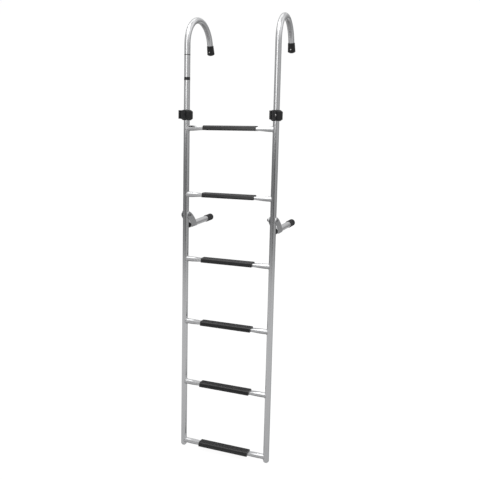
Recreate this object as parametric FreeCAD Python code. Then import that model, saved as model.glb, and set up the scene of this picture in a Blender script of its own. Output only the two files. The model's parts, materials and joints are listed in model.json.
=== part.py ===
import FreeCAD, Part
import math
import os

# Boat ladder that hangs from a gunwale by two tube hooks and stands off the hull on two folding arms.
# Millimetres. +X runs along the rungs, +Y from the climber towards the boat, +Z up.
# The origin lies midway between the hooks, under their crowns, where the gunwale carries the ladder.

Vec = FreeCAD.Vector
X_AXIS = Vec(1, 0, 0)
Y_AXIS = Vec(0, 1, 0)
Z_AXIS = Vec(0, 0, 1)

# Tube stock of the rails, hooks and stand-off arms
tube_od = 25.0
tube_wall = 1.5

# Ladder
rail_spacing = 392.0            # between the rail axes
rung_count = 6
rung_spacing = 275.0
rail_tail = 16.0                # rail tube below the lowest rung's axis
rung_od = 22.0
rung_wall = 1.5
pressed_height = 12.0           # of the rung's flattened middle
pressed_width = 25.2            # wider than the round rung, as the way round it stays the same
rung_round = 11.5               # of the rung stays round at the rail
weld_gap = 0.2                  # between a rung's shaped end and its rail

# Tread covers, clipped over the flattened middle of each rung
tread_length = 228.0
tread_depth = 42.0
tread_height = 18.5
tread_under = 7.5               # below the rung's axis
tread_lip = 5.0                 # upright lower edge
tread_draft = 8.0               # degrees that the sides lean in above the lip
tread_rounding = 6.0            # of the two long upper edges
tread_fit = 0.25                # around the pressed tube
tread_slot = 14.0               # open underneath, so that the cover clips on
ridge_count = 7
ridge_pitch = 4.2
ridge_radius = 0.9

# Rail end plugs
plug_dome = 9.0
plug_spigot = 18.0
plug_fit = 0.1

# Hooks
hook_radius = 110.0             # of the bend, to the tube's axis
hook_sweep = 165.0              # degrees
hook_rise = 337.0               # from the top rung's axis to the start of the bend
hook_end = 42.0                 # straight tube after the bend
hook_turn = {"left": 0.0, "right": 5.0}     # degrees inwards, as the clamps hold them
hook_cap_length = 36.0
hook_cap_wall = 1.8             # at the mouth
hook_cap_flare = 1.7            # thicker at the closed end
hook_cap_dome = 6.0
cap_fit = 0.1

# Swivel joint between each hook and its rail
spigot_length = 60.0
spigot_wall = 1.5
spigot_fit = 0.05
spigot_root = 15.0              # thickened wall above the shoulder
shoulder_gap = 0.3
collar_rise = 53.0              # from the top rung's axis to the middle of the collar
collar_height = 42.0
collar_radius = 25.0
collar_chamfer_in = 8.0         # sideways
collar_chamfer_down = 6.5       # along the tube
collar_fit = 0.08
joint_drop = 8.0                # rail top below the middle of the collar
lug_reach = 58.0                # clamp lug, from the rail axis towards the climber
lug_width = 19.0
lug_height = 34.0
lug_rounding = 2.5
clamp_slit = 2.5                # between the lug's two jaws
bolt_offset = 36.0              # clamp bolt in front of the rail axis
bolt_radius = 2.5
bolt_head_radius = 4.5
bolt_head_height = 2.5
bolt_fit = 0.1
clamp_nut_flats = 8.0
clamp_nut_height = 3.2
clamp_nut_fit = 0.15
nut_pocket = 6.5                # depth, in the jaw towards the rungs
bolt_tail = 1.0                 # thread past the nut

# Folding stand-off arms
pivot_drop = 85.0               # below the second rung's axis
arm_drop = 50.0                 # arm tube's axis below the pivot
arm_rise = 3.4                  # degrees, outwards and up
arm_start = 26.0                # from the rail axis to the inner end of the arm tube
arm_reach = 246.0               # from the rail axis to the end of the rubber cap
arm_plug_length = 14.0
arm_plug_dome = 2.0
arm_cap_length = 50.0
arm_cap_wall = 2.3
arm_cap_end = 4.0
arm_cap_rounding = 2.0
groove_count = 3
groove_pitch = 11.0
groove_width = 3.0
groove_depth = 1.0
cheek_thickness = 3.0
cheek_gap = 0.3                 # between a cheek and the tubes it clasps
ear_radius = 13.0
ear_top_angle = 55.0            # where the cheek's back edge leaves the ear
ear_front_angle = 225.0         # where its front edge leaves the ear
cheek_bulge = 5.0               # of the curved back edge
cheek_lead = 2.0                # of its lower front edge, ahead of the arm tube
cheek_front_notch = 7.0         # how much further forward the slanting edge reaches
cheek_back = 64.0               # where the curved edge meets the top of the arm tube
cheek_end = 72.0
cheek_foot = 8.0                # lower edge below the arm tube's axis
pivot_radius = 4.0
pivot_fit = 0.08
pivot_head_radius = 7.0
pivot_head_height = 3.0
nut_across_flats = 13.0
nut_height = 6.5
nut_tail = 2.5                  # thread past the nut

# Places that follow from the sizes
tube_radius = tube_od / 2
bore_radius = tube_radius - tube_wall
rail_y = -hook_radius
bend_z = tube_radius - hook_radius
top_rung_z = bend_z - hook_rise
round_start = rail_spacing / 2 - tube_radius - rung_round
bottom_z = top_rung_z - (rung_count - 1) * rung_spacing - rail_tail
collar_z = top_rung_z + collar_rise
rail_top_z = collar_z - joint_drop
pivot_z = top_rung_z - rung_spacing - pivot_drop
SIDES = {"left": -1, "right": 1}


def rail_point(side, z):
    """Point on a rail's axis at height z."""
    return Vec(SIDES[side] * rail_spacing / 2, rail_y, z)


def rod(radius, start, end):
    """Round bar from one point to another."""
    return Part.makeCylinder(radius, (end - start).Length, start, end - start)


def tube(radius, wall, start, end):
    """Straight tube from one point to another, open at both ends."""
    return rod(radius, start, end).cut(rod(radius - wall, start, end))


def prism(points, direction):
    """Straight-sided solid from a closed outline, pushed along a direction."""
    outline = Part.makePolygon(points + [points[0]])
    return Part.Face(outline).extrude(direction)


def turned(profile):
    """Solid of revolution about Z from (radius, height) points."""
    outline = [Vec(radius, 0, height) for radius, height in profile]
    return Part.Face(Part.makePolygon(outline + [outline[0]])).revolve(Vec(), Z_AXIS, 360)


def pressed_bar(inset):
    """Flattened middle of a rung, its surface moved in by inset."""
    half_length = tread_length / 2
    flat = pressed_height / 2 - inset
    bar = rod(pressed_width / 2 - inset, X_AXIS * -half_length, X_AXIS * half_length)
    corner = Vec(-half_length, -rung_od, -flat)
    return bar.common(Part.makeBox(tread_length, 2 * rung_od, 2 * flat, corner))


def pressed_shoulder(inset):
    """Where the rung goes from flattened to round, its surface moved in by inset."""
    round_radius = rung_od / 2 - inset
    flat = pressed_height / 2 - inset
    flat_end = tread_length / 2
    length = round_start - flat_end
    cone = Part.makeCone(pressed_width / 2 - inset, round_radius, length, X_AXIS * flat_end, X_AXIS)
    wedge = prism([
        Vec(flat_end, -rung_od, -flat),
        Vec(round_start, -rung_od, -round_radius),
        Vec(round_start, -rung_od, round_radius),
        Vec(flat_end, -rung_od, flat),
    ], Y_AXIS * 2 * rung_od)
    return cone.common(wedge)


def rung_core(inset):
    """Rung between the rail axes, its surface moved in by inset."""
    end = rod(rung_od / 2 - inset, X_AXIS * round_start, X_AXIS * (rail_spacing / 2))
    arm = end.fuse(pressed_shoulder(inset))
    return pressed_bar(inset).multiFuse([arm, arm.mirror(Vec(), X_AXIS)])


def make_rung():
    """Hollow rung, flattened in the middle and shaped at both ends to sit on the rails."""
    rung = rung_core(0).cut(rung_core(rung_wall))
    for x in (-rail_spacing / 2, rail_spacing / 2):
        saddle = rod(tube_radius + weld_gap, Vec(x, 0, -rung_od), Vec(x, 0, rung_od))
        rung = rung.cut(saddle)
    return rung.removeSplitter()


def make_tread():
    """Ribbed cover that clips round the flattened tube."""
    half = tread_depth / 2
    lip_z = tread_lip - tread_under
    top_z = tread_height - tread_under
    lean = (tread_height - tread_lip) * math.tan(math.radians(tread_draft))
    start_x = -tread_length / 2
    run = X_AXIS * tread_length
    cover = prism([
        Vec(start_x, -half, -tread_under),
        Vec(start_x, half, -tread_under),
        Vec(start_x, half, lip_z),
        Vec(start_x, half - lean, top_z),
        Vec(start_x, lean - half, top_z),
        Vec(start_x, -half, lip_z),
    ], run)
    upper = [edge for edge in cover.Edges if edge.BoundBox.ZMin > lip_z and edge.BoundBox.XLength > tread_depth]
    cover = cover.makeFillet(tread_rounding, upper)
    for index in range(ridge_count):
        y = (index - (ridge_count - 1) / 2) * ridge_pitch
        start = Vec(start_x, y, top_z)
        cover = cover.fuse(rod(ridge_radius, start, start + run))
    slot = Part.makeBox(tread_length, tread_slot, tread_under, Vec(start_x, -tread_slot / 2, -tread_under))
    return cover.cut(pressed_bar(-tread_fit)).cut(slot).removeSplitter()


def make_rail(side):
    """Hollow rail with the pivot bolt's hole."""
    rail = tube(tube_radius, tube_wall, rail_point(side, bottom_z), rail_point(side, rail_top_z))
    pivot = rail_point(side, pivot_z)
    return rail.cut(rod(pivot_radius + pivot_fit, pivot - X_AXIS * tube_od, pivot + X_AXIS * tube_od))


def dome(base_radius, height):
    """Shallow round cap below z 0."""
    ball_radius = (base_radius ** 2 + height ** 2) / (2 * height)
    ball = Part.makeSphere(ball_radius, Vec(0, 0, ball_radius - height))
    return ball.common(rod(base_radius, Vec(0, 0, -height), Vec()))


def plug(face_radius, dome_height, spigot_radius, length):
    """Domed plug whose spigot runs up from z 0 into a tube."""
    spigot = rod(spigot_radius, Vec(), Z_AXIS * length)
    return dome(face_radius, dome_height).fuse(spigot).removeSplitter()


def make_rail_plug():
    """Rounded plug in a rail's foot, its seat at z 0."""
    return plug(tube_radius, plug_dome, bore_radius - plug_fit, plug_spigot)


def make_hook(side):
    """Hook tube with a reduced spigot that turns in the rail."""
    shoulder = rail_point(side, rail_top_z + shoulder_gap)
    spigot_radius = bore_radius - spigot_fit
    spigot_bore = spigot_radius - spigot_wall
    foot = turned([
        (spigot_bore, -spigot_length),
        (spigot_radius, -spigot_length),
        (spigot_radius, 0),
        (tube_radius, 0),
        (tube_radius, spigot_root),
        (spigot_bore, spigot_root),
    ])
    foot.translate(shoulder)
    bend_start = rail_point(side, bend_z)
    leg = tube(tube_radius, tube_wall, shoulder + Z_AXIS * spigot_root, bend_start)
    rings = [Part.Wire(Part.makeCircle(radius, bend_start, Z_AXIS)) for radius in (tube_radius, bore_radius)]
    bend_centre = bend_start + Y_AXIS * hook_radius
    bend = Part.Face(rings).revolve(bend_centre, -X_AXIS, hook_sweep)
    start, direction = hook_tail(side)
    tail = tube(tube_radius, tube_wall, start, start + direction * hook_end)
    return foot.multiFuse([leg, bend, tail]).removeSplitter()


def hook_tail(side):
    """Where the straight tube after the bend starts, and the way it runs."""
    angle = math.radians(hook_sweep)
    centre = rail_point(side, bend_z) + Y_AXIS * hook_radius
    start = centre + Vec(0, -math.cos(angle), math.sin(angle)) * hook_radius
    return start, Vec(0, math.sin(angle), math.cos(angle))


def make_hook_cap(side):
    """Flared cap with a domed end on the free end of a hook."""
    inner = tube_radius + cap_fit
    mouth = inner + hook_cap_wall
    base = mouth + hook_cap_flare
    cone = Part.makeCone(base, mouth, hook_cap_length, Vec())
    cap = cone.fuse(dome(base, hook_cap_dome))
    cap = cap.cut(rod(inner, Vec(), Z_AXIS * hook_cap_length)).removeSplitter()
    start, direction = hook_tail(side)
    tip = start + direction * (hook_end + cap_fit)
    cap.Placement = FreeCAD.Placement(tip, FreeCAD.Rotation(Z_AXIS, -direction))
    return cap


def turn_hook(shape, side):
    """Turn a hook piece inwards about its rail, as its clamp holds it."""
    placed = shape.copy()
    placed.rotate(rail_point(side, 0), Z_AXIS, SIDES[side] * hook_turn[side])
    return placed


def hexagon(x, across_flats):
    """Corners of a hexagon about the X axis."""
    radius = across_flats / math.sqrt(3)
    turns = [math.radians(60 * step) for step in range(6)]
    return [Vec(x, radius * math.cos(turn), radius * math.sin(turn)) for turn in turns]


def nut_and_bolt(shank_radius, head_seat, head_radius, head_height, nut_seat, nut_flats, nut_length, tail):
    """Bolt along X, its domed head beyond head_seat and its nut and bare thread below nut_seat."""
    shank = rod(shank_radius, X_AXIS * (nut_seat - nut_length - tail), X_AXIS * head_seat)
    head = dome(head_radius, head_height)
    head.Placement = FreeCAD.Placement(X_AXIS * head_seat, FreeCAD.Rotation(-Z_AXIS, X_AXIS))
    nut = prism(hexagon(nut_seat, nut_flats), X_AXIS * -nut_length)
    return shank.multiFuse([head, nut]).removeSplitter()


def outboard(shape, side):
    """Mirror a piece drawn for the right side, so that its +X face looks outwards on both."""
    return shape.mirror(Vec(), X_AXIS) if SIDES[side] < 0 else shape


def make_collar():
    """Moulded clamp collar for the swivel joint, its split lug towards the climber."""
    half = collar_height / 2
    bore = tube_radius + collar_fit
    shoulder = collar_radius - collar_chamfer_in
    waist = half - collar_chamfer_down
    ring = turned([
        (bore, -half),
        (shoulder, -half),
        (collar_radius, -waist),
        (collar_radius, waist),
        (shoulder, half),
        (bore, half),
    ])
    lug = Part.makeBox(lug_width, lug_reach, lug_height, Vec(-lug_width / 2, -lug_reach, -lug_height / 2))
    tip_edges = [edge for edge in lug.Edges if edge.BoundBox.YMax < 0.01 - lug_reach]
    lug = lug.makeFillet(lug_rounding, tip_edges).cut(rod(shoulder, Z_AXIS * -half, Z_AXIS * half))
    slit_corner = Vec(-clamp_slit / 2, -lug_reach, -half)
    slit = Part.makeBox(clamp_slit, lug_reach, collar_height, slit_corner)
    bolt_line = Vec(0, -bolt_offset, 0)
    hole = rod(bolt_radius + bolt_fit, bolt_line - X_AXIS * lug_width, bolt_line + X_AXIS * lug_width)
    pocket_flats = clamp_nut_flats + 2 * clamp_nut_fit
    pocket = prism(hexagon(nut_pocket - lug_width / 2, pocket_flats), X_AXIS * -lug_width)
    return ring.fuse(lug).cut(slit).cut(hole).cut(pocket.translated(bolt_line)).removeSplitter()


def make_clamp_bolt():
    """Bolt across the two jaws of a collar."""
    seat = lug_width / 2
    bolt = nut_and_bolt(bolt_radius, seat, bolt_head_radius, bolt_head_height,
                        nut_pocket - seat, clamp_nut_flats, clamp_nut_height, bolt_tail)
    return bolt.translated(Y_AXIS * -bolt_offset)


def make_pivot():
    """Pivot bolt through both cheeks and the rail, its nut towards the rungs."""
    seat = tube_radius + 2 * cheek_gap + cheek_thickness
    return nut_and_bolt(pivot_radius, seat, pivot_head_radius, pivot_head_height,
                        -seat, nut_across_flats, nut_height, nut_tail)


def place_arm(shape, side):
    """Put an arm piece, drawn level with its pivot at the origin, on its rail."""
    placed = shape.copy()
    placed.rotate(Vec(), X_AXIS, arm_rise)
    placed.translate(rail_point(side, pivot_z))
    return placed


def ear_point(angle):
    """Point on the rim of the cheek's ear."""
    return Vec(0, ear_radius * math.cos(math.radians(angle)), ear_radius * math.sin(math.radians(angle)))


def cheek_outline():
    """Cheek without its ear: a curved back edge, and a front edge that slants back to the arm tube."""
    tube_top = tube_radius - arm_drop
    foot = -arm_drop - cheek_foot
    top = ear_point(ear_top_angle)
    meet = Vec(0, cheek_back, tube_top)
    chord = meet - top
    outward = Vec(0, -chord.z, chord.y).normalize()
    crest = (top + meet) * 0.5 + outward * cheek_bulge
    heel = arm_start - cheek_lead
    corners = [
        meet,
        Vec(0, cheek_end, -arm_drop),
        Vec(0, cheek_end, foot),
        Vec(0, heel, foot),
        Vec(0, heel, tube_top - cheek_front_notch),
        Vec(0, heel - cheek_front_notch, tube_top),
        ear_point(ear_front_angle),
        top,
    ]
    edges = [Part.Arc(top, crest, meet).toShape()]
    for start, end in zip(corners, corners[1:]):
        edges.append(Part.LineSegment(start, end).toShape())
    return Part.Wire(edges)


def make_bracket():
    """Two cheeks that clasp the rail and the arm tube."""
    plates = []
    for sign in (-1, 1):
        inner = X_AXIS * sign * (tube_radius + cheek_gap)
        push = X_AXIS * sign * cheek_thickness
        web = Part.Face(cheek_outline()).extrude(push).translated(inner)
        ear = rod(ear_radius, inner, inner + push)
        hole = rod(pivot_radius + pivot_fit, inner - push, inner + push * 2)
        plates.append(web.fuse(ear).cut(hole).removeSplitter())
    return Part.makeCompound(plates)


def arm_point(y):
    """Point on the arm tube's axis."""
    return Vec(0, y, -arm_drop)


def along_arm(shape, y, heading):
    """Put a piece drawn about Z on the arm tube's axis."""
    placed = shape.copy()
    placed.Placement = FreeCAD.Placement(arm_point(y), FreeCAD.Rotation(Z_AXIS, heading))
    return placed


def make_arm_tube():
    """Arm tube, from just behind the rail to the end inside the rubber cap."""
    return tube(tube_radius, tube_wall, arm_point(arm_start), arm_point(arm_reach - arm_cap_end - cap_fit))


def make_arm_plug():
    """Plug in the inner end of the arm tube, domed towards the rail."""
    radius = bore_radius - plug_fit
    return along_arm(plug(radius, arm_plug_dome, radius, arm_plug_length), arm_start, Y_AXIS)


def make_arm_cap():
    """Ringed rubber cap whose flat end bears on the hull."""
    inner = tube_radius + cap_fit
    outer = inner + arm_cap_wall
    cap = rod(outer, Vec(), Z_AXIS * arm_cap_length)
    rim = [edge for edge in cap.Edges if edge.BoundBox.ZMin > arm_cap_length - 0.01]
    cap = cap.makeFillet(arm_cap_rounding, rim)
    cap = cap.cut(rod(inner, Vec(), Z_AXIS * (arm_cap_length - arm_cap_end)))
    for index in range(groove_count):
        low = Z_AXIS * (arm_cap_length - groove_pitch * (index + 1))
        cap = cap.cut(tube(outer + 1, groove_depth + 1, low, low + Z_AXIS * groove_width))
    return along_arm(cap, arm_reach - arm_cap_length, Y_AXIS)


nodes = {}
rung = make_rung()
tread = make_tread()
for number in range(1, rung_count + 1):
    place = Vec(0, rail_y, top_rung_z - (number - 1) * rung_spacing)
    nodes[f"rung_{number}"] = rung.translated(place)
    nodes[f"tread_{number}"] = tread.translated(place)

rail_plug = make_rail_plug()
collar = make_collar()
clamp_bolt = make_clamp_bolt()
pivot = make_pivot()
arm_pieces = {
    "bracket": make_bracket(),
    "tube": make_arm_tube(),
    "plug": make_arm_plug(),
    "cap": make_arm_cap(),
}
for side in SIDES:
    nodes[f"rail_{side}"] = make_rail(side)
    nodes[f"rail_plug_{side}"] = rail_plug.translated(rail_point(side, bottom_z))
    nodes[f"collar_{side}"] = outboard(collar, side).translated(rail_point(side, collar_z))
    nodes[f"collar_bolt_{side}"] = outboard(clamp_bolt, side).translated(rail_point(side, collar_z))
    nodes[f"hook_{side}"] = turn_hook(make_hook(side), side)
    nodes[f"hook_cap_{side}"] = turn_hook(make_hook_cap(side), side)
    nodes[f"standoff_pivot_{side}"] = outboard(pivot, side).translated(rail_point(side, pivot_z))
    for piece, shape in arm_pieces.items():
        nodes[f"standoff_{piece}_{side}"] = place_arm(shape, side)

os.makedirs("parts", exist_ok=True)
for name, shape in nodes.items():
    shape.exportStep(f"parts/{name}.step")
    print(name, len(shape.Solids), "solids,", round(shape.Volume / 1000, 2), "cm3, valid", shape.isValid())
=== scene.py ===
import json
import math

import bmesh
import bpy
from mathutils import Matrix, Vector


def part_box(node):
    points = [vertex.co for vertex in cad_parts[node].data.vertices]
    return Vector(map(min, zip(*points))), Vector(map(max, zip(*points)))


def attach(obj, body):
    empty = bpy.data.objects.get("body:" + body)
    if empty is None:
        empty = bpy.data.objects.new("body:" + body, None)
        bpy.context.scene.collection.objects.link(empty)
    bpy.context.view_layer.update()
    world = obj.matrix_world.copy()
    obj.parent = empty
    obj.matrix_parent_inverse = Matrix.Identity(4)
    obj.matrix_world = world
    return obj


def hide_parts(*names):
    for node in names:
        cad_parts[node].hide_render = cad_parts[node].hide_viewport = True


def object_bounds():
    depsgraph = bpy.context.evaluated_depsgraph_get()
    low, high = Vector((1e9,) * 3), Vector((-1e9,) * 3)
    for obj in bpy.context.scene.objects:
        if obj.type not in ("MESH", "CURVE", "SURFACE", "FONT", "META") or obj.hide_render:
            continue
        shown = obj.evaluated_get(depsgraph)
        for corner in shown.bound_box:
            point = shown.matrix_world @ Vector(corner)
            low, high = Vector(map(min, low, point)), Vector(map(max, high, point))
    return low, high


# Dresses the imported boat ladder: its materials, bolts, welds, cap screws and stripes, and a plain white studio.
# Metres, in the CAD's own frame: +X along the rungs, +Y towards the boat, +Z up.

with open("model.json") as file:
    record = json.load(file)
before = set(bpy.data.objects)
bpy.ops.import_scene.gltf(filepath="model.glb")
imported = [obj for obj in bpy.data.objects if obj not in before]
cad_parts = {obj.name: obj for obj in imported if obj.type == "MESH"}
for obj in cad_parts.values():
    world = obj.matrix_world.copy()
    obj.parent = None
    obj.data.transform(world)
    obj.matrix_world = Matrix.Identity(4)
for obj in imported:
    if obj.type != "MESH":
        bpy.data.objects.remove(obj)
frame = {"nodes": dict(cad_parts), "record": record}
cad_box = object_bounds()
record = frame["record"]
joints = {joint["name"]: joint for joint in record["behaviour"]["joints"]}
slot_of = {part["node"]: part["material_slot"] for part in record["subparts"]}

SIDES = {"left": -1, "right": 1}
MM = 0.001
RUNGS = 6

# Sizes that the CAD boxes don't give directly
ARM_RISE = math.radians(3.4)
HOOK_SWEEP = math.radians(165)
HOOK_TURN = {"left": 0.0, "right": math.radians(5)}
RUNG_RADIUS = 11 * MM
CLAMP_BOLT_RADIUS = 2.5 * MM
PIVOT_RADIUS = 4 * MM


def node_centre(node):
    low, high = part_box(node)
    return (Vector(low) + Vector(high)) / 2


def node_size(node):
    low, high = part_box(node)
    return Vector(high) - Vector(low)


TUBE_RADIUS = node_size("rail_left").x / 2


# Where most values of a noise texture lie
NOISE = (0.3, 0.7)


def add_node(tree, kind, inputs=None, **settings):
    """Adds a shader node, whose inputs are values or the sockets that feed them."""
    node = tree.nodes.new(kind)
    for key, value in settings.items():
        setattr(node, key, value)
    for socket, value in (inputs or {}).items():
        if isinstance(value, bpy.types.NodeSocket):
            tree.links.new(value, node.inputs[socket])
        else:
            node.inputs[socket].default_value = value
    return node


class Material:
    """Node material with a Principled shader and short helpers for its textures."""

    def __init__(self, name, **settings):
        self.material = bpy.data.materials.new(name)
        self.material.use_nodes = True
        self.tree = self.material.node_tree
        self.shader = self.tree.nodes["Principled BSDF"]
        for socket, value in settings.items():
            self.shader.inputs[socket.replace("_", " ")].default_value = value
        self.place = self.add("ShaderNodeTexCoord").outputs["Object"]

    def add(self, kind, inputs=None, **settings):
        return add_node(self.tree, kind, inputs, **settings)

    def stretched(self, scale, turn=(0, 0, 0)):
        """Object coordinates times a scale, which draws a texture out along the small numbers."""
        return self.add("ShaderNodeMapping", {"Vector": self.place, "Scale": scale, "Rotation": turn}).outputs[0]

    def noise(self, place, scale=1.0, detail=4.0, roughness=0.5):
        inputs = {"Vector": place, "Scale": scale, "Detail": detail, "Roughness": roughness}
        return self.add("ShaderNodeTexNoise", inputs).outputs[0]

    def spread(self, value, low, high, to_low=0.0, to_high=1.0):
        """Maps a texture's range onto another."""
        inputs = {"Value": value, "From Min": low, "From Max": high, "To Min": to_low, "To Max": to_high}
        return self.add("ShaderNodeMapRange", inputs).outputs[0]

    def maths(self, operation, a, b):
        return self.add("ShaderNodeMath", {0: a, 1: b}, operation=operation).outputs[0]

    def blend(self, factor, a, b):
        """Mixes two colours, given as numbers or sockets."""
        node = self.add("ShaderNodeMix", {"Factor": factor}, data_type="RGBA")
        for socket, value in ((node.inputs[6], a), (node.inputs[7], b)):
            if isinstance(value, bpy.types.NodeSocket):
                self.tree.links.new(value, socket)
            else:
                socket.default_value = (*value, 1)
        return node.outputs[2]

    def colour(self, socket):
        self.tree.links.new(socket, self.shader.inputs["Base Color"])

    def roughness(self, socket):
        self.tree.links.new(socket, self.shader.inputs["Roughness"])

    def bump(self, height, distance, strength=1.0, below=None):
        """Raises the surface by a height texture, over another bump if there is one."""
        inputs = {"Height": height, "Distance": distance, "Strength": strength}
        if below:
            inputs["Normal"] = below
        return self.add("ShaderNodeBump", inputs).outputs[0]

    def relief(self, normal):
        self.tree.links.new(normal, self.shader.inputs["Normal"])


# Textures of the tubes, as (scale across a tube, scale along it)
DRAWING_LINES = (700.0, 6.0)
RUBBED_MARKS = (260.0, 40.0)

# Tints of the anodised skin, times a tube's tone
CLEAN = (1.0, 1.005, 1.01)
CLOUDED = (0.94, 0.945, 0.95)
RUBBED = (0.66, 0.665, 0.67)

# How much the rubbed marks change the colour and the roughness
MARK_COLOUR = 0.08
MARK_ROUGHNESS = 0.02


def drawn_out(scales, axis):
    """Texture scale that is fine across a tube and coarse along its axis, which is 0 for X to 2 for Z."""
    across, along = scales
    scale = [across] * 3
    scale[axis] = along
    return scale


def tinted(tone, tint):
    return tuple(part * tone for part in tint)


def anodised_tube(name, axis, rough, tone=0.78, turn=(0, 0, 0)):
    """Satin anodised aluminium with drawing lines along the tube, faint clouding and a few rubbed marks."""
    made = Material(name, Metallic=1.0)
    lines = made.noise(made.stretched(drawn_out(DRAWING_LINES, axis), turn), detail=2.0)
    clouds = made.noise(made.place, scale=14.0, detail=3.0)
    spots = made.noise(made.stretched(drawn_out(RUBBED_MARKS, axis), turn), detail=6.0, roughness=0.7)
    marks = made.spread(spots, 0.62, 0.74)
    base = made.blend(clouds, tinted(tone, CLEAN), tinted(tone, CLOUDED))
    made.colour(made.blend(made.maths("MULTIPLY", marks, MARK_COLOUR), base, tinted(tone, RUBBED)))
    drawn = made.spread(lines, *NOISE, rough, rough + 0.05)
    made.roughness(made.maths("ADD", drawn, made.maths("MULTIPLY", marks, MARK_ROUGHNESS)))
    made.relief(made.bump(lines, 0.002 * MM, 0.5))
    return made.material


def grained_plastic(name, base, worn, rough, grain, wear=0.25, flow=None, relief=1.0, specular=0.5):
    """Moulded plastic: spark-eroded grain, scuffs that go paler, and flow lines where they show.

    base and worn are its colours, rough its mean roughness, grain and flow are texture scales, wear says how far the
    scuffs go, and relief how deep the grain is."""
    made = Material(name, Specular_IOR_Level=specular)
    fine = made.noise(made.place, scale=grain, detail=3.0, roughness=0.6)
    scuffs = made.spread(made.noise(made.place, scale=70.0, detail=8.0, roughness=0.75), 0.56, 0.72)
    made.colour(made.blend(made.maths("MULTIPLY", scuffs, wear), base, worn))
    made.roughness(made.spread(made.noise(made.place, scale=30.0), *NOISE, rough - 0.06, rough + 0.08))
    normal = made.bump(fine, 0.02 * MM * relief, 0.5)
    if flow is not None:
        normal = made.bump(made.noise(made.stretched(flow), detail=2.0), 0.04 * MM * relief, 0.5, normal)
    made.relief(normal)
    return made.material


def ringed_rubber(name):
    """Matt rubber with a dusty bloom in its grain."""
    made = Material(name, Specular_IOR_Level=0.35)
    grain = made.noise(made.place, scale=1700.0, detail=3.0)
    bloom = made.spread(made.noise(made.place, scale=45.0, detail=6.0, roughness=0.7), 0.42, 0.7)
    made.colour(made.blend(bloom, (0.016, 0.016, 0.017), (0.045, 0.045, 0.046)))
    made.roughness(made.spread(bloom, 0.0, 1.0, 0.62, 0.8))
    made.relief(made.bump(grain, 0.03 * MM, 0.6))
    return made.material


def cut_plate(name):
    """Rolled aluminium plate: fine lines along the roll and a soft haze."""
    made = Material(name, Metallic=1.0)
    lines = made.noise(made.stretched((300.0, 60.0, 1500.0)), detail=3.0)
    haze = made.noise(made.place, scale=40.0, detail=4.0)
    made.colour(made.blend(haze, (0.86, 0.865, 0.87), (0.74, 0.745, 0.75)))
    made.roughness(made.spread(lines, *NOISE, 0.27, 0.40))
    made.relief(made.bump(lines, 0.005 * MM, 0.5))
    return made.material


def bright_steel(name):
    """Stainless fastener: turned, slightly uneven polish."""
    made = Material(name, Metallic=1.0)
    polish = made.noise(made.place, scale=420.0, detail=4.0)
    made.colour(made.blend(polish, (0.80, 0.79, 0.77), (0.62, 0.61, 0.60)))
    made.roughness(made.spread(polish, *NOISE, 0.14, 0.27))
    made.relief(made.bump(polish, 0.004 * MM, 0.5))
    return made.material


def dark_steel(name):
    """Fastener steel, darker than the stainless: dull grey with a patchy bloom."""
    made = Material(name, Metallic=1.0)
    bloom = made.noise(made.place, scale=260.0, detail=5.0)
    made.colour(made.blend(bloom, (0.42, 0.42, 0.43), (0.28, 0.28, 0.29)))
    made.roughness(made.spread(bloom, *NOISE, 0.30, 0.44))
    made.relief(made.bump(bloom, 0.006 * MM, 0.5))
    return made.material


def weld_metal(name):
    """Welded aluminium: paler and rougher than the tube, with a fine frosted skin."""
    made = Material(name, Metallic=1.0)
    frost = made.noise(made.place, scale=900.0, detail=5.0)
    heat = made.noise(made.place, scale=120.0, detail=2.0)
    made.colour(made.blend(heat, (0.82, 0.82, 0.82), (0.60, 0.60, 0.61)))
    made.roughness(made.spread(frost, *NOISE, 0.30, 0.48))
    made.relief(made.bump(frost, 0.012 * MM, 0.6))
    return made.material


def stripe_film(name):
    """Plain dark vinyl band, slightly scuffed."""
    made = Material(name)
    scuffs = made.spread(made.noise(made.place, scale=160.0, detail=7.0, roughness=0.7), 0.5, 0.75)
    made.colour(made.blend(scuffs, (0.010, 0.010, 0.011), (0.05, 0.05, 0.052)))
    made.roughness(made.spread(scuffs, 0.0, 1.0, 0.35, 0.55))
    made.relief(made.bump(scuffs, 0.006 * MM, 0.4))
    return made.material


# Finishes of the aluminium tubes, by the first word of a node's name
TUBE_FINISHES = {
    # The rungs' tone is paler than the other tubes', which paints brighter highlights on their shoulders
    "rung": anodised_tube("tube_aluminium_rung", axis=0, rough=0.24, tone=0.88),
    "standoff": anodised_tube("tube_aluminium_arm", axis=1, rough=0.34, turn=(-ARM_RISE, 0, 0)),
    "hook": anodised_tube("tube_aluminium_hook", axis=2, rough=0.24),
    "rail": anodised_tube("tube_aluminium_rail", axis=2, rough=0.14),
}
STAINLESS = bright_steel("stainless")
DARK_STEEL = dark_steel("dark_steel")

# Finishes of the other nodes, by their material slot in the record
FINISHES = {
    "tread_plastic": grained_plastic(
        "tread_plastic", base=(0.006, 0.006, 0.0065), worn=(0.020, 0.020, 0.020), rough=0.24, grain=1500.0,
        flow=(10.0, 900.0, 900.0), relief=0.3, specular=0.75),
    "collar_plastic": grained_plastic(
        "collar_plastic", base=(0.007, 0.007, 0.0075), worn=(0.025, 0.025, 0.025), rough=0.46, grain=1100.0,
        relief=2.0),
    "cap_plastic": grained_plastic(
        "cap_plastic", base=(0.006, 0.006, 0.0065), worn=(0.022, 0.022, 0.022), rough=0.42, grain=1300.0,
        relief=2.0),
    "plug_plastic": grained_plastic(
        "plug_plastic", base=(0.33, 0.335, 0.34), worn=(0.42, 0.42, 0.42), rough=0.42, grain=1200.0, wear=0.5),
    "standoff_rubber": ringed_rubber("standoff_rubber"),
    "bracket_aluminium": cut_plate("bracket_aluminium"),
    "stainless": STAINLESS,
}


def finish_of(node):
    slot = slot_of[node]
    if slot != "tube_aluminium":
        return FINISHES[slot]
    return TUBE_FINISHES[node.split("_")[0]]


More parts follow.
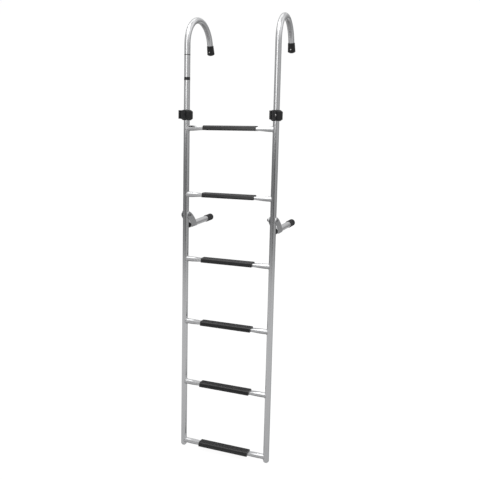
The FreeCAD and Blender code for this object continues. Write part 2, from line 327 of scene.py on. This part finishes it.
def paint(piece, material):
    piece.data.materials.clear()
    piece.data.materials.append(material)


for name, node in frame["nodes"].items():
    for slot in node.material_slots:
        slot.material = finish_of(name)


def smooth_object(name, mesh, material):
    """Turns a bmesh into an object with smooth faces."""
    data = bpy.data.meshes.new(name)
    mesh.to_mesh(data)
    mesh.free()
    for polygon in data.polygons:
        polygon.use_smooth = True
    made = bpy.data.objects.new(name, data)
    bpy.context.collection.objects.link(made)
    paint(made, material)
    return made


def piece_from(name, mesh, body, material, smooth_angle=35):
    """Turns a bmesh into a piece that rides on a body. Edges that bend more than smooth_angle degrees stay sharp."""
    bmesh.ops.recalc_face_normals(mesh, faces=mesh.faces)
    piece = smooth_object(name, mesh, material)
    piece.data.set_sharp_from_angle(angle=math.radians(smooth_angle))
    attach(piece, body)
    return piece


def add_rings(mesh, rings, close_start=True, close_end=True, loop=False):
    """Skins a row of rings that have the same number of points."""
    rows = [[mesh.verts.new(point) for point in ring] for ring in rings]
    pairs = list(zip(rows, rows[1:]))
    if loop:
        pairs.append((rows[-1], rows[0]))
    for first, second in pairs:
        count = len(first)
        for index in range(count):
            after = (index + 1) % count
            mesh.faces.new((first[index], first[after], second[after], second[index]))
    if close_start and not loop:
        mesh.faces.new(rows[0][::-1])
    if close_end and not loop:
        mesh.faces.new(rows[-1])


RING_POINTS = 48


def circle(x, radius):
    """Ring about the X axis."""
    turns = [2 * math.pi * index / RING_POINTS for index in range(RING_POINTS)]
    return [Vector((x, radius * math.cos(turn), radius * math.sin(turn))) for turn in turns]


def hexagon(x, across_flats):
    """Ring about the X axis whose points lie on a hexagon."""
    points = []
    for index in range(RING_POINTS):
        turn = 2 * math.pi * index / RING_POINTS
        off_flat = (turn + math.pi / 6) % (math.pi / 3) - math.pi / 6
        radius = across_flats / 2 / math.cos(off_flat)
        points.append(Vector((x, radius * math.cos(turn), radius * math.sin(turn))))
    return points


DOME_STEPS = (0, 12, 25, 38, 50, 60)    # degrees up the dome of a bolt's head
SOCKET_WALL = 0.6                       # depth of the socket's flats, of the head's height
SOCKET_POINT = 0.75                     # depth of the drilled point, of the head's height
SOCKET_POINT_RADIUS = 0.2               # of the width across the socket's flats
NUT_CHAMFER = 0.12                      # of the nut's length
NUT_BORE = 1.06                         # of the shank's radius, as are the next two
THREAD_ROOT = 0.93
THREAD_END = 0.86
THREAD_TURNS = 4
THREAD_SHARE = 0.85                     # of the tail


def bolt_mesh(shank, head, socket, nut, tail):
    """Bolt along X, for a right-hand side: domed socket head outside, chamfered nut and thread inside.

    shank is (radius, nut seat, head seat), head (radius, height), socket the width across its flats, nut (across
    flats, length), and tail the length of thread past the nut."""
    radius, nut_seat, head_seat = shank
    head_radius, head_height = head
    nut_flats, nut_length = nut
    mesh = bmesh.new()
    crown = [circle(head_seat + head_height * math.sin(angle), head_radius * math.cos(angle))
             for angle in [math.radians(step) for step in DOME_STEPS]]
    socket_top = crown[-1][0].x
    well = [hexagon(socket_top, socket), hexagon(socket_top - SOCKET_WALL * head_height, socket),
            circle(socket_top - SOCKET_POINT * head_height, socket * SOCKET_POINT_RADIUS)]
    add_rings(mesh, [circle(nut_seat, radius), circle(head_seat, radius)], False, False)
    add_rings(mesh, [circle(head_seat, radius)] + crown + well, False, True)
    nut_end = nut_seat - nut_length
    edge = NUT_CHAMFER * nut_length
    add_rings(mesh, [
        circle(nut_seat, radius),
        circle(nut_seat, nut_flats / 2),
        hexagon(nut_seat - edge, nut_flats),
        hexagon(nut_end + edge, nut_flats),
        circle(nut_end, nut_flats / 2),
        circle(nut_end, radius * NUT_BORE),
    ], False, False)
    thread = [circle(nut_end, radius * NUT_BORE)]
    step = tail * THREAD_SHARE / THREAD_TURNS
    for index in range(THREAD_TURNS):
        start = nut_end - index * step
        thread.append(circle(start - step / 2, radius * THREAD_ROOT))
        thread.append(circle(start - step, radius))
    thread.append(circle(nut_end - tail, radius * THREAD_END))
    add_rings(mesh, thread, False, True)
    return mesh


# Sizes of the CAD's bolts, whose seats are measured from the axis of the rail
BOLTS = {
    "collar_bolt": dict(shank=(CLAMP_BOLT_RADIUS, -3 * MM, 9.5 * MM), head=(4.5 * MM, 2.5 * MM),
                        socket=3 * MM, nut=(8 * MM, 3.2 * MM), tail=1 * MM),
    "standoff_pivot": dict(shank=(PIVOT_RADIUS, -16.1 * MM, 16.1 * MM), head=(7 * MM, 3 * MM),
                           socket=4 * MM, nut=(13 * MM, 6.5 * MM), tail=2.5 * MM),
}


def bolts():
    """Clamp bolts and pivot bolts, which stand for the plain ones of the CAD."""
    finishes = {"collar_bolt": STAINLESS, "standoff_pivot": DARK_STEEL}
    for kind, sizes in BOLTS.items():
        for side, sign in SIDES.items():
            node = f"{kind}_{side}"
            centre = node_centre(node)
            centre.x = joints[f"hook_swivel_{side}"]["pos_m"][0]
            mesh = bolt_mesh(**sizes)
            mesh.transform(Matrix.Translation(centre) @ Matrix.Diagonal((sign, 1, 1, 1)))
            bolt = piece_from(f"{node}_dressed", mesh, "ladder", finishes[kind])
            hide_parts(node)


WELD_POINTS = 96            # round the joint
WELD_SECTION = 12           # points round the bead itself
WELD_RADIUS = 1.7 * MM
WELD_RIPPLES = 30
WELD_RIPPLE = 0.07          # of the bead's radius, as are the next two
WELD_OFF_RUNG = 0.2
WELD_OFF_RAIL = 0.1


def weld_bead(mesh, rail_x, rail_y, height, towards):
    """Rippled bead along the curve where a rung meets a rail. towards is -1 or 1 along X, from rail to rung."""
    rings = []
    reach = RUNG_RADIUS + WELD_OFF_RUNG * WELD_RADIUS
    for index in range(WELD_POINTS):
        turn = 2 * math.pi * index / WELD_POINTS
        across = reach * math.cos(turn)
        out = math.sqrt((TUBE_RADIUS + WELD_OFF_RAIL * WELD_RADIUS) ** 2 - across ** 2)
        centre = Vector((rail_x + towards * out, rail_y + across, height + reach * math.sin(turn)))
        radial = Vector((0, math.cos(turn), math.sin(turn)))
        along = Vector((towards, 0, 0))
        size = WELD_RADIUS * (1 + WELD_RIPPLE * math.sin(WELD_RIPPLES * turn))
        ring = []
        for step in range(WELD_SECTION):
            bend = 2 * math.pi * step / WELD_SECTION
            ring.append(centre + size * (math.cos(bend) * radial + math.sin(bend) * along))
        rings.append(ring)
    add_rings(mesh, rings, loop=True)


def welds():
    mesh = bmesh.new()
    for number in range(1, RUNGS + 1):
        height = node_centre(f"rung_{number}").z
        for side, sign in SIDES.items():
            centre = node_centre(f"rail_{side}")
            weld_bead(mesh, centre.x, centre.y, height, -sign)
    piece_from("weld_beads", mesh, "ladder", weld_metal("weld_metal"), 60)


SCREW_RADIUS = 2.9 * MM
SCREW_HEIGHT = 1.3 * MM
SCREW_ROOT = 1 * MM             # of the head, inside the cap
SCREW_RIM = 0.3                 # upright edge, of the head's height
SCREW_DOME = (30, 55, 72)       # degrees up its dome
SCREW_SOCKET = 0.5              # across flats, of the head's radius
SCREW_SOCKET_DEPTH = 0.6 * MM
SCREW_SOCKET_TAPER = 0.9
SCREW_DOWN = 6 * MM             # from the cap's middle towards its closed end
SCREW_OUT = 15.2 * MM           # from the tube's axis


def cap_screws():
    """Small round-headed screw that holds each hook cap, on its inner side."""
    for side, sign in SIDES.items():
        mesh = bmesh.new()
        head = [circle(-SCREW_ROOT, SCREW_RADIUS), circle(SCREW_RIM * SCREW_HEIGHT, SCREW_RADIUS)]
        for angle in SCREW_DOME:
            lift = SCREW_HEIGHT * (SCREW_RIM + (1 - SCREW_RIM) * math.sin(math.radians(angle)))
            head.append(circle(lift, SCREW_RADIUS * math.cos(math.radians(angle))))
        top = head[-1][0].x
        well = SCREW_RADIUS * SCREW_SOCKET
        head += [hexagon(top, well), hexagon(top - SCREW_SOCKET_DEPTH, well * SCREW_SOCKET_TAPER)]
        add_rings(mesh, head)
        down = Vector((0, math.sin(HOOK_SWEEP), math.cos(HOOK_SWEEP)))
        out = Vector((0, math.cos(HOOK_SWEEP), -math.sin(HOOK_SWEEP)))
        turn = Matrix.Rotation(sign * HOOK_TURN[side], 3, "Z")
        down, out = turn @ down, turn @ out
        sideways = out.cross(down)
        place = node_centre(f"hook_cap_{side}") + down * SCREW_DOWN + out * SCREW_OUT
        basis = Matrix((out, down, sideways)).transposed().to_4x4()
        mesh.transform(Matrix.Translation(place) @ basis)
        piece_from(f"hook_cap_screw_{side}", mesh, f"hook_arm_{side}", STAINLESS)


STRIPES = {"stripe_upper": (-0.1400, 3 * MM), "stripe_lower": (-0.2350, 12 * MM)}   # height and length
FILM = 0.12 * MM
FILM_FIT = 0.02 * MM            # between the film and the tube


def stripes():
    """Two plain dark bands round the left hook's straight leg."""
    axis = joints["hook_swivel_left"]["pos_m"]
    material = stripe_film("stripe_film")
    for name, (height, length) in STRIPES.items():
        mesh = bmesh.new()
        inner = TUBE_RADIUS + FILM_FIT
        outer = inner + FILM
        ends = (-length / 2, length / 2)
        rings = [circle(ends[0], inner), circle(ends[0], outer), circle(ends[1], outer), circle(ends[1], inner)]
        add_rings(mesh, rings, loop=True)
        mesh.transform(Matrix.Translation((axis[0], axis[1], height)) @ Matrix.Rotation(math.pi / 2, 4, "Y"))
        piece_from(name, mesh, "hook_arm_left", material)


bolts()
welds()
cap_screws()
stripes()


FLOOR_GAP = 0.5 * MM
FLOOR_Z = cad_box[0][2] - FLOOR_GAP
ARC_STEPS = 12                  # in a quarter turn of the studio's curves


def paper(name, glow):
    """White studio paper, which glows so that it stays white wherever the lights are."""
    made = Material(name, Emission_Color=(1, 1, 1, 1), Emission_Strength=glow)
    tone = made.noise(made.place, scale=0.8)
    made.colour(made.blend(tone, (0.12, 0.12, 0.12), (0.09, 0.09, 0.09)))
    made.roughness(made.spread(tone, *NOISE, 0.85, 0.95))
    return made.material


def stage_piece(name, mesh, material):
    """Part of the studio, which the tubes don't mirror: they mirror the room of the world instead."""
    piece = smooth_object(name, mesh, material)
    piece.visible_glossy = False
    return piece


def backdrop():
    """White sweep: a floor that curves up into a wall behind the ladder."""
    half_width, front, turn_start, bend, height = 9.0, -7.0, 3.0, 1.6, 6.0
    profile = [(front, FLOOR_Z), (turn_start, FLOOR_Z)]
    for step in range(1, ARC_STEPS + 1):
        angle = math.radians(90 * step / ARC_STEPS)
        profile.append((turn_start + bend * math.sin(angle), FLOOR_Z + bend * (1 - math.cos(angle))))
    profile.append((turn_start + bend, FLOOR_Z + height))
    mesh = bmesh.new()
    rows = [[mesh.verts.new((x, y, z)) for y, z in profile] for x in (-half_width, half_width)]
    for index in range(len(profile) - 1):
        mesh.faces.new((rows[0][index], rows[1][index], rows[1][index + 1], rows[0][index + 1]))
    stage_piece("backdrop", mesh, paper("backdrop_paper", 0.93))


def surround():
    """White tent round the studio, which other cameras see behind the ladder. It neither lights nor shades."""
    radius, wall, crown, below_floor = 8.5, 3.0, 8.0, 20 * MM
    profile = [(radius, FLOOR_Z - below_floor), (radius, wall)]
    for step in range(1, ARC_STEPS):
        angle = math.radians(90 * step / ARC_STEPS)
        profile.append((radius * math.cos(angle), wall + (crown - wall) * math.sin(angle)))
    mesh = bmesh.new()
    turn = Matrix.Rotation(-math.pi / 2, 3, "Y")
    add_rings(mesh, [[turn @ point for point in circle(z, reach)] for reach, z in profile])
    tent = stage_piece("surround", mesh, paper("surround_paper", 1.0))
    tent.visible_diffuse = False
    tent.visible_shadow = False


# The room that the tubes mirror, as (height of the direction from 0 straight down to 1 straight up, brightness): a
# pale floor below, a darker band at eye level where the floor ends, and lighter walls above. One ramp is for the left
# of the room, one for the right.
ROOM_LEFT = [(0.0, 0.32), (0.08, 0.29), (0.22, 0.42), (0.34, 0.60), (0.39, 0.58), (0.42, 0.20), (0.485, 0.17),
             (0.52, 0.38), (0.60, 0.46), (1.0, 0.62)]
ROOM_RIGHT = [(0.0, 0.32), (0.08, 0.29), (0.22, 0.42), (0.34, 0.60), (0.39, 0.58), (0.42, 0.32), (0.485, 0.34),
              (0.52, 0.48), (0.60, 0.50), (0.66, 0.74), (0.74, 0.86), (0.85, 1.05), (1.0, 1.1)]

# Where the parts of the room begin and end, in parts of the unit direction, with each part's brightness
RIGHT_SIDE = (0.2, 0.85)                # X, over which the left ramp gives way to the right one
DARKEST_WAY = Vector((0.37, -0.93, 0)).normalized()     # the dark doorway beside the camera
DOORWAY_EDGE = (0.93, 0.98)             # along that way
DOORWAY_FOOT = (-0.2, -0.15)            # Z
DOORWAY_TOP = (-0.02, 0.02)             # Z
DOORWAY = 0.2
BACK_HALF = (0.1, 0.7)                  # Y
BEHIND = 0.74
FAR_BACK = (0.75, 0.93)                 # Y
FAR_BEHIND = 1.3
HIGH_BACK = (0.15, 0.5)                 # Y
HIGH_START = (0.3, 0.45)                # Z
HIGH_BEHIND = 0.55                      # added there


def surroundings():
    """World light: the room that the tubes mirror, with its doorway and its paler far end."""
    world = bpy.data.worlds.new("studio")
    bpy.context.scene.world = world
    world.use_nodes = True
    tree = world.node_tree

    def add(kind, inputs=None, **settings):
        return add_node(tree, kind, inputs, **settings)

    def ease(value, span, to_low, to_high):
        inputs = {"Value": value, "From Min": span[0], "From Max": span[1], "To Min": to_low, "To Max": to_high}
        return add("ShaderNodeMapRange", inputs, interpolation_type="SMOOTHSTEP").outputs[0]

    def room(height, tones):
        ramp = add("ShaderNodeValToRGB", {0: height})
        stops = ramp.color_ramp.elements
        while len(stops) < len(tones):
            stops.new(0.5)
        for stop, (position, tone) in zip(stops, tones):
            stop.position = position
            stop.color = (tone, tone, tone * 1.01, 1)
        return ramp.outputs[0]

    direction = add("ShaderNodeTexCoord").outputs["Generated"]
    parts = add("ShaderNodeSeparateXYZ", {0: direction}).outputs
    height = add("ShaderNodeMapRange", {"Value": parts["Z"], "From Min": -1.0}).outputs[0]
    side = ease(parts["X"], RIGHT_SIDE, 0.0, 1.0)
    walls = add("ShaderNodeMix", {"Factor": side}, data_type="RGBA")
    tree.links.new(room(height, ROOM_LEFT), walls.inputs[6])
    tree.links.new(room(height, ROOM_RIGHT), walls.inputs[7])
    facing = add("ShaderNodeVectorMath", {0: direction, 1: DARKEST_WAY}, operation="DOT_PRODUCT").outputs["Value"]
    middle = ease(facing, DOORWAY_EDGE, 1.0, DOORWAY)
    below = ease(parts["Z"], DOORWAY_FOOT, 0.0, 1.0)
    above = ease(parts["Z"], DOORWAY_TOP, 1.0, 0.0)
    band = add("ShaderNodeMath", {0: below, 1: above}, operation="MULTIPLY").outputs[0]
    darkest = add("ShaderNodeMix", {"Factor": band, 2: 1.0, 3: middle}).outputs[0]
    behind = ease(parts["Y"], BACK_HALF, 1.0, BEHIND)
    far = ease(parts["Y"], FAR_BACK, 1.0, FAR_BEHIND)
    back = ease(parts["Y"], HIGH_BACK, 0.0, 1.0)
    high = ease(parts["Z"], HIGH_START, 0.0, HIGH_BEHIND)
    lift = add("ShaderNodeMath", {0: back, 1: high, 2: 1.0}, operation="MULTIPLY_ADD").outputs[0]
    background = tree.nodes["Background"]
    tree.links.new(walls.outputs[2], background.inputs["Color"])
    nearer = add("ShaderNodeMath", {0: darkest, 1: behind}, operation="MULTIPLY").outputs[0]
    lower = add("ShaderNodeMath", {0: nearer, 1: far}, operation="MULTIPLY").outputs[0]
    strength = add("ShaderNodeMath", {0: lower, 1: lift}, operation="MULTIPLY").outputs[0]
    tree.links.new(strength, background.inputs["Strength"])


def soft_light(name, place, target, size, watts):
    light = bpy.data.lights.new(name, "AREA")
    light.shape = "RECTANGLE"
    light.size, light.size_y = size
    light.energy = watts
    lamp = bpy.data.objects.new(name, light)
    bpy.context.collection.objects.link(lamp)
    lamp.location = place
    lamp.rotation_euler = (Vector(target) - Vector(place)).to_track_quat("-Z", "Y").to_euler()


LADDER_MIDDLE = (0, -0.1, -0.8)

# Softboxes: place, what they face, width and height, watts
LIGHTS = {
    "overhead": ((-0.5, -1.2, 2.2), LADDER_MIDDLE, (3.4, 1.8), 31),
    "overhead_back": ((-0.6, 0.45, 2.1), LADDER_MIDDLE, (2.6, 1.3), 6),
    "left_front": ((-0.275, -2.2, 0.82), (0, -0.1, 0.82), (1.15, 2.36), 11.5),
}


def lights():
    for name, settings in LIGHTS.items():
        soft_light(name, *settings)


# Fitted to the crossings of rungs and rails in the photo
CAMERA_PLACE = (1.028, -2.500, -0.485)
CAMERA_YAW = math.radians(22.17)
CAMERA_PITCH = math.radians(-8.82)
CAMERA_ROLL = math.radians(1.27)
CAMERA_LENS = 47.58             # millimetres, on a sensor 36 mm wide
CAMERA_SENSOR = 36


def camera():
    data = bpy.data.cameras.new("camera")
    data.lens = CAMERA_LENS
    data.sensor_width = CAMERA_SENSOR
    eye = bpy.data.objects.new("camera", data)
    bpy.context.collection.objects.link(eye)
    heading = Matrix.Rotation(CAMERA_YAW, 4, "Z")
    tilt = Matrix.Rotation(math.pi / 2 + CAMERA_PITCH, 4, "X")
    roll = Matrix.Rotation(CAMERA_ROLL, 4, "Z")
    eye.matrix_world = Matrix.Translation(CAMERA_PLACE) @ heading @ tilt @ roll
    bpy.context.scene.camera = eye


backdrop()
surround()
surroundings()
lights()
camera()
bpy.context.scene.view_settings.view_transform = "Standard"
